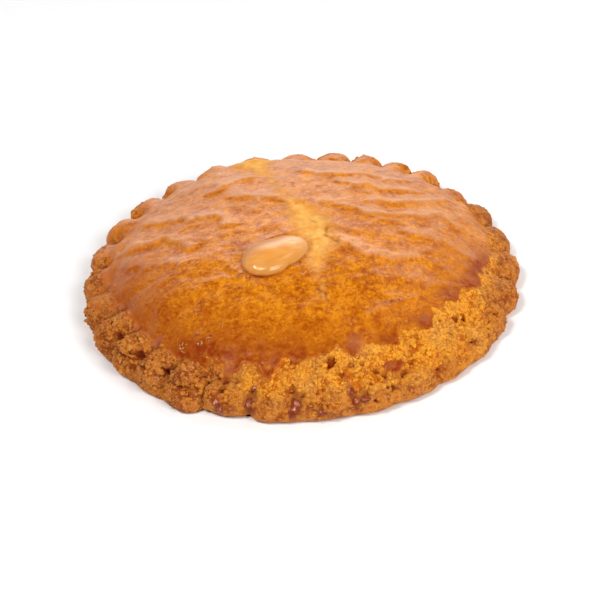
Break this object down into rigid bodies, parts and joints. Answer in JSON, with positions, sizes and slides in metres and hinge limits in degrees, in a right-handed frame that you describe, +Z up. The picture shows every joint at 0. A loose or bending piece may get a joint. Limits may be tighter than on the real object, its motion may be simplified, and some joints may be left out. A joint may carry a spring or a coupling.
{
  "type": "filled almond cookie",
  "caption": "Round domed short-crust cookie with a sealed almond filling, a scalloped pressed rim, a glossy egg-washed top and an almond pressed into the middle.",
  "frame": {"origin": "middle of the flat underside", "axes": "+Z up out of the domed top; the cookie rests on its flat underside at z = 0; -Y is the crumbled front of the rim"},
  "size_m": [0.1046, 0.1039, 0.0214],
  "materials": {
    "baked_crust": "egg-washed baked crust, glossy amber on top and dry and crumbly at the rim",
    "almond": "blanched almond, lightly toasted, satin under the egg wash"
  },
  "bodies": {
    "root": {"cookie": "baked_crust", "almond": "almond"}
  },
  "joints": []
}
